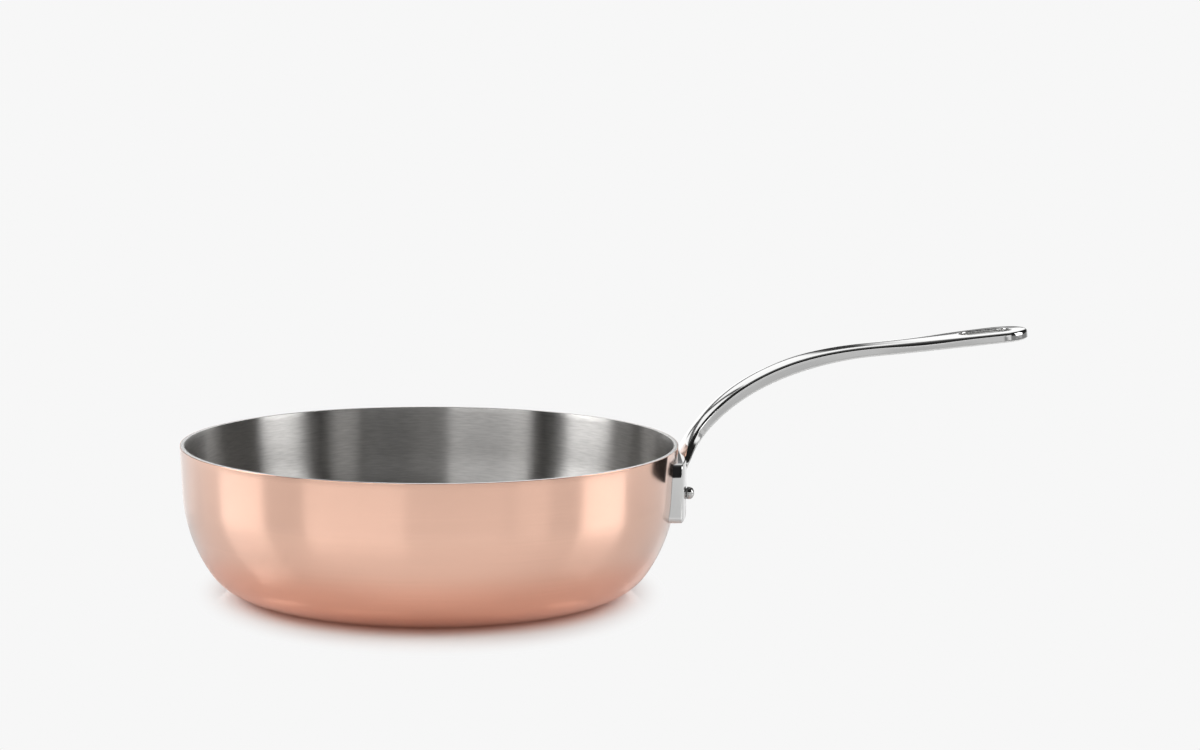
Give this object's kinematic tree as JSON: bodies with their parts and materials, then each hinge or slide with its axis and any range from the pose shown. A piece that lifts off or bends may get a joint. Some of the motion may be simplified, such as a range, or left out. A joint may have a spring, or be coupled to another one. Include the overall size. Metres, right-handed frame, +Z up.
{
  "type": "saucier pan",
  "caption": "Round-sided copper-clad saucier pan with a steel-lined bowl and a long arched cast handle riveted to its wall, ending in a hanging slot.",
  "frame": {"origin": "centre of the flat underside, on the pan's axis", "axes": "+Z up the pan's axis towards the rim, +X along the handle away from the bowl"},
  "size_m": [0.4472, 0.262, 0.1377],
  "materials": {
    "copper": "satin polished copper",
    "aluminium": "cut edge, satin",
    "brushed_steel": "brushed round the bowl",
    "cast_steel": "mirror polished stainless steel",
    "rivet_steel": "polished stainless steel"
  },
  "bodies": {
    "root": {"copper_shell": "copper", "aluminium_core": "aluminium", "steel_liner": "brushed_steel", "handle": "cast_steel", "rivet_left": "rivet_steel", "rivet_right": "rivet_steel"}
  },
  "joints": []
}
